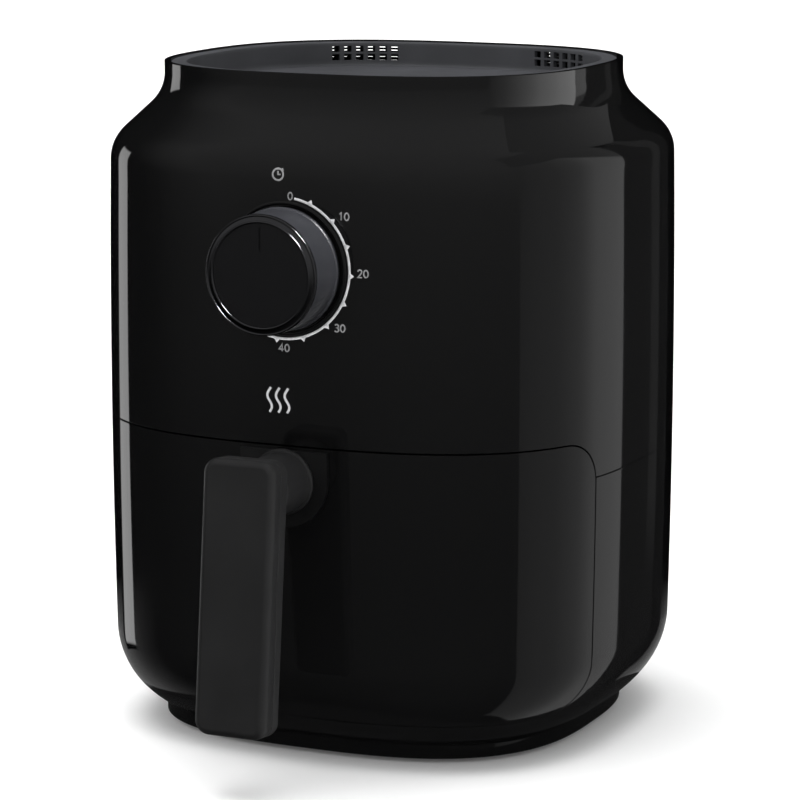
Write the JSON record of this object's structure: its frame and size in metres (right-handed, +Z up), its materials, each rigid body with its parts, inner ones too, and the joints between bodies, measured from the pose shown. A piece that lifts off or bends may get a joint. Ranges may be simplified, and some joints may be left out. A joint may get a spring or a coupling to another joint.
{
  "type": "air fryer",
  "caption": "Compact barrel-shaped countertop air fryer: gloss shell with drawn-in neck, pull-out pan drawer with upright grip, clockwork timer knob, hot air fan and heater.",
  "frame": {"origin": "on the surface it stands on, at the centre of the whole bounding box, handle and cord gland included", "axes": "+Z up; the drawer, handle and timer face -Y; +X is to the right seen from the front"},
  "size_m": [0.245, 0.294, 0.305],
  "materials": {
    "gloss_black": "high gloss, moulded",
    "soft_black": "fine matte texture",
    "cover_grey": "matte, moulded",
    "inner_black": "matte, moulded",
    "knob_grey": "semi gloss",
    "knob_face": "gloss",
    "bright_trim": "dark bright trim",
    "rubber_black": "matte",
    "silicone_black": "matte",
    "zinc_steel": "zinc plated",
    "spring_steel": "ground",
    "laminated_steel": "stacked sheet, dull",
    "aluminised_sheet": "aluminised steel sheet",
    "element_steel": "heat tinted",
    "nonstick_black": "non-stick coating",
    "copper_wire": "enamelled copper winding",
    "bronze": "sintered bronze",
    "pale_resin": "heat proof resin",
    "wire_sleeve": "glass fibre sleeve",
    "switch_black": "moulded",
    "switch_red": "moulded"
  },
  "bodies": {
    "housing": {"upper_housing": "gloss_black", "lower_housing": "gloss_black", "base_plate": "inner_black", "rubber_feet": "rubber_black", "base_screws": "zinc_steel", "top_cover": "cover_grey", "cord_gland": "inner_black", "terminal_block": "pale_resin", "wire_harness": "wire_sleeve", "bay_frame": "inner_black", "bay_liner": "aluminised_sheet", "bay_rails": "inner_black", "chamber_liner": "aluminised_sheet", "heating_element": "element_steel", "element_brackets": "zinc_steel", "heat_shield": "aluminised_sheet", "thermostat": "zinc_steel", "thermal_fuse": "zinc_steel", "motor_bracket": "zinc_steel", "motor_grommets": "rubber_black", "motor_stator": "laminated_steel", "motor_coil": "copper_wire", "motor_endcaps": "zinc_steel", "shaft_bearings": "bronze", "motor_screws": "zinc_steel", "air_duct": "inner_black", "timer_bracket": "zinc_steel", "timer_case": "zinc_steel", "timer_bell": "spring_steel", "timer_screws": "zinc_steel", "microswitch_body": "switch_black"},
    "rotor": {"motor_shaft": "spring_steel", "motor_rotor": "laminated_steel", "convection_fan": "aluminised_sheet", "fan_nut": "zinc_steel", "cooling_fan": "aluminised_sheet"},
    "timer": {"timer_shaft": "spring_steel", "timer_knob": "knob_grey", "knob_trim": "bright_trim", "knob_cap": "knob_face"},
    "switch": {"microswitch_plunger": "switch_red"},
    "drawer": {"drawer_front": "gloss_black", "drawer_inner": "inner_black", "pan": "nonstick_black", "pan_bracket": "zinc_steel", "pan_screws": "zinc_steel", "handle_escutcheon": "soft_black", "handle_stem": "soft_black", "handle_back": "soft_black", "handle_grip": "soft_black", "handle_screws": "zinc_steel"},
    "crisper": {"crisper_plate": "nonstick_black", "crisper_bumpers": "silicone_black"}
  },
  "joints": [
    {"name": "drawer_slide", "type": "slide", "parent": "housing", "child": "drawer", "axis": [0, -1, 0], "range_m": [0, 0.22]},
    {"name": "crisper_lift", "type": "slide", "parent": "drawer", "child": "crisper", "axis": [0, 0, 1], "range_m": [0, 0.09]},
    {"name": "timer_turn", "type": "hinge", "parent": "housing", "child": "timer", "pos_m": [0, -0.09, 0.223], "axis": [0, 1, 0], "range_deg": [0, 280]},
    {"name": "fan_spin", "type": "hinge", "parent": "housing", "child": "rotor", "pos_m": [0, 0.025, 0.2], "axis": [0, 0, 1], "continuous": true},
    {"name": "switch_press", "type": "slide", "parent": "housing", "child": "switch", "axis": [0, 1, 0], "range_m": [0, 0.001], "stiffness_N_per_m": 200}
  ]
}
